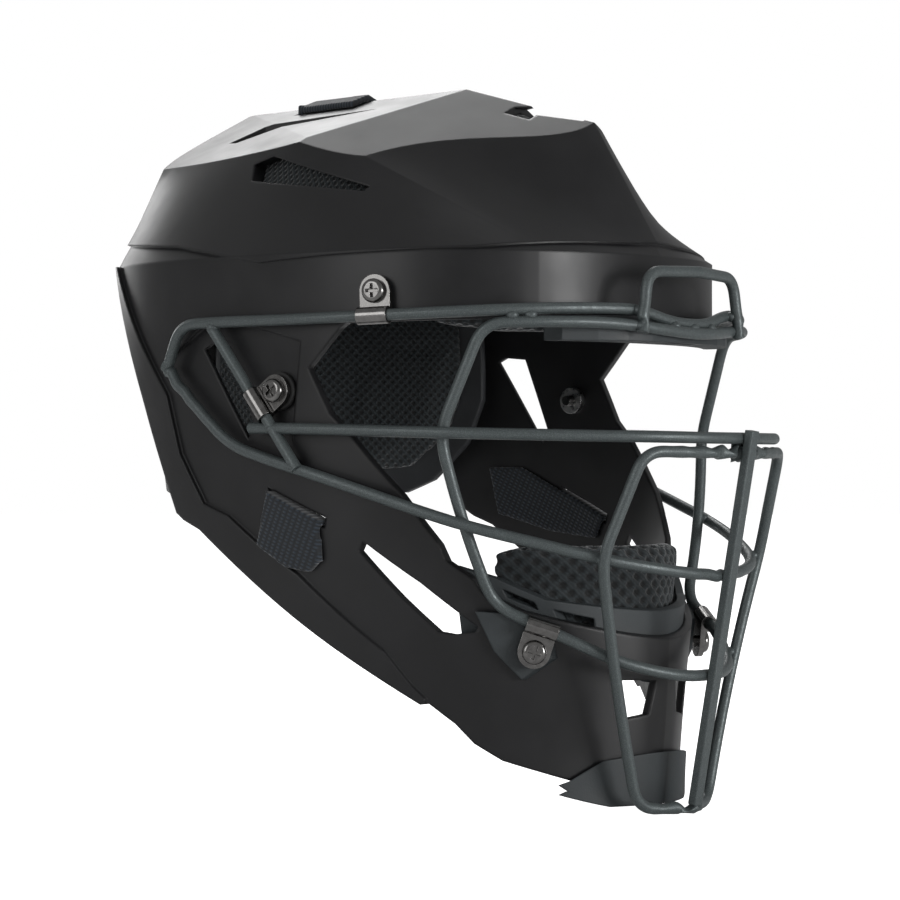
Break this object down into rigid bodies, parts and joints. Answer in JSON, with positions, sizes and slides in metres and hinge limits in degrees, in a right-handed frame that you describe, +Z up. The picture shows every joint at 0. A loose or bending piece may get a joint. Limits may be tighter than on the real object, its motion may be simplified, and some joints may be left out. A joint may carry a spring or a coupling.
{
  "type": "catcher helmet with face cage",
  "caption": "Faceted hard-shell catcher helmet with a welded wire face cage on screwed clips, padded inside, with a rear plate hung on elastic straps.",
  "frame": {"origin": "middle of the head cavity at eye level, on the mirror plane", "axes": "+Z up, -Y out through the face opening, +X to the wearer's left"},
  "size_m": [0.231, 0.3013, 0.3097],
  "materials": {
    "shell_plastic": "satin moulded plastic, nearly black",
    "plate_plastic": "matt moulded plastic, dark grey",
    "cage_coat": "powder coat over steel wire, dark green-grey with fine metal flake",
    "clip_metal": "black nickel plate",
    "nut_metal": "plain steel",
    "pad_mesh": "spacer mesh over foam, dark grey",
    "soft_trim": "soft moulded rubber, dark green-grey",
    "bush_rubber": "matt black rubber",
    "elastic": "woven elastic, dark blue-grey"
  },
  "bodies": {
    "helmet": {"main_shell": "shell_plastic", "crown_pad": "pad_mesh", "brow_pad": "pad_mesh", "brow_lip": "soft_trim", "chin_pad": "pad_mesh", "chin_pad_carrier": "soft_trim", "chin_bumper": "soft_trim", "chin_clip_pads": "soft_trim", "side_clip_bushes": "bush_rubber", "side_strap_right": "elastic", "side_strap_left": "elastic", "top_strap": "elastic", "cage_top_rail": "cage_coat", "cage_side_wire": "cage_coat", "cage_nose_bar": "cage_coat", "cage_cheek_bar": "cage_coat", "cage_lower_frame": "cage_coat", "cage_center_bar": "cage_coat", "cage_brow_loop": "cage_coat", "cage_drop_bar_right": "cage_coat", "cage_drop_bar_left": "cage_coat", "clips_top": "clip_metal", "clip_screws_top": "clip_metal", "clips_side": "clip_metal", "clip_screws_side": "clip_metal", "clips_chin": "clip_metal", "clip_screws_chin": "clip_metal", "clip_nuts_top": "nut_metal", "clip_nuts_side": "nut_metal", "clip_nuts_chin": "nut_metal"},
    "rear_plate": {"back_plate": "plate_plastic", "back_plate_pad": "pad_mesh", "plate_rivets": "plate_plastic"}
  },
  "joints": [
    {"name": "rear_plate_swing", "type": "hinge", "parent": "helmet", "child": "rear_plate", "pos_m": [0, 0.103, 0.1], "axis": [1, 0, 0], "range_deg": [0, 12], "stiffness_Nm_per_rad": 2, "springref_deg": -8.59}
  ]
}
